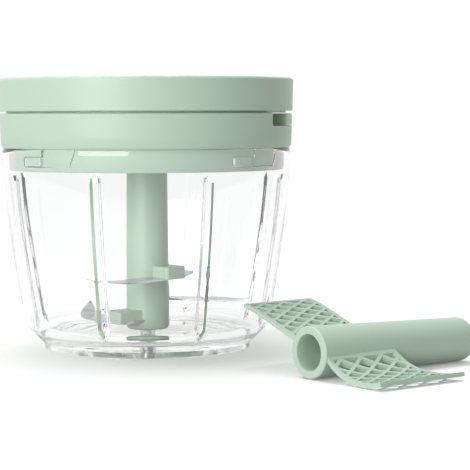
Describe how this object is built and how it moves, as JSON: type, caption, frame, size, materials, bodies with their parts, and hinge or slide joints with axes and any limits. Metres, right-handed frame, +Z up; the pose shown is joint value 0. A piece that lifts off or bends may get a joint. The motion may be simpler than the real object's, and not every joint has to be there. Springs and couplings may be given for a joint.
{
  "type": "pull-cord food chopper",
  "caption": "Hand food chopper: clear round bowl, mint bayonet lid with a pull handle on a recoil cord reel, stacked steel blades on a column, and a loose lattice whisk.",
  "frame": {"origin": "on the bowl's axis, on the table under the bowl", "axes": "+Z up along the bowl's axis, +X out through the middle of the pull handle, -Y towards the side where the whisk's open end lies"},
  "size_m": [0.2075, 0.2033, 0.1213],
  "materials": {
    "mint_plastic": "satin moulded polypropylene, pale mint green",
    "clear_plastic": "polished clear moulding",
    "blade_steel": "fine brushed sheet",
    "pin_steel": "ground",
    "screw_steel": "zinc plated",
    "spring_steel": "blued strip",
    "silicone": "translucent moulded silicone",
    "cord_nylon": "round braid",
    "white_plastic": "natural acetal",
    "bearing_plastic": "polished acetal"
  },
  "bodies": {
    "bowl": {"bowl": "clear_plastic", "spindle_pin": "pin_steel"},
    "seal": {"lid_seal": "silicone"},
    "lid": {"lid_base": "mint_plastic", "bayonet_ring": "mint_plastic", "lid_cover": "mint_plastic", "cover_screws": "screw_steel", "cord_guide": "bearing_plastic", "drive_bush": "bearing_plastic", "reel_plate": "white_plastic", "plate_screws": "screw_steel", "spring_arbor": "white_plastic", "recoil_spring": "spring_steel", "cord_lead": "cord_nylon"},
    "reel": {"cord_reel": "white_plastic", "reel_flange": "white_plastic", "cord_winding": "cord_nylon", "drive_socket": "white_plastic", "drive_screw": "screw_steel"},
    "handle": {"pull_handle": "mint_plastic", "handle_plug": "mint_plastic", "cord_knot": "cord_nylon", "cord_stub": "cord_nylon"},
    "blades": {"blade_column": "mint_plastic", "upper_blade": "blade_steel", "middle_blade": "blade_steel", "lower_blade": "blade_steel"},
    "whisk": {"whisk_tube": "mint_plastic", "whisk_front_wing": "mint_plastic", "whisk_back_wing": "mint_plastic"}
  },
  "joints": [
    {"name": "lid_lift", "type": "slide", "parent": "bowl", "child": "seal", "axis": [0, 0, 1], "range_m": [0, 0.11]},
    {"name": "lid_twist", "type": "hinge", "parent": "seal", "child": "lid", "pos_m": [0, 0, 0.0905], "axis": [0, 0, 1], "range_deg": [0, 11]},
    {"name": "handle_pull", "type": "slide", "parent": "lid", "child": "handle", "axis": [1, 0, 0], "range_m": [0, 0.26], "stiffness_N_per_m": 15, "springref_m": -0.2, "deforming": ["cord_stub"]},
    {"name": "reel_spin", "type": "hinge", "parent": "lid", "child": "reel", "pos_m": [0, 0, 0.1], "axis": [0, 0, 1], "range_deg": [0, 680]},
    {"name": "blade_spin", "type": "hinge", "parent": "bowl", "child": "blades", "pos_m": [0, 0, 0.02], "axis": [0, 0, 1], "range_deg": [0, 680]},
    {"name": "whisk_lift", "type": "slide", "parent": "bowl", "child": "whisk", "axis": [0, 0, 1], "range_m": [0, 0.1]}
  ],
  "couplings": [
    {"joint": "reel_spin", "follows": "handle_pull", "rad_per_m": 45.455},
    {"joint": "blade_spin", "follows": "handle_pull", "rad_per_m": 45.455}
  ]
}
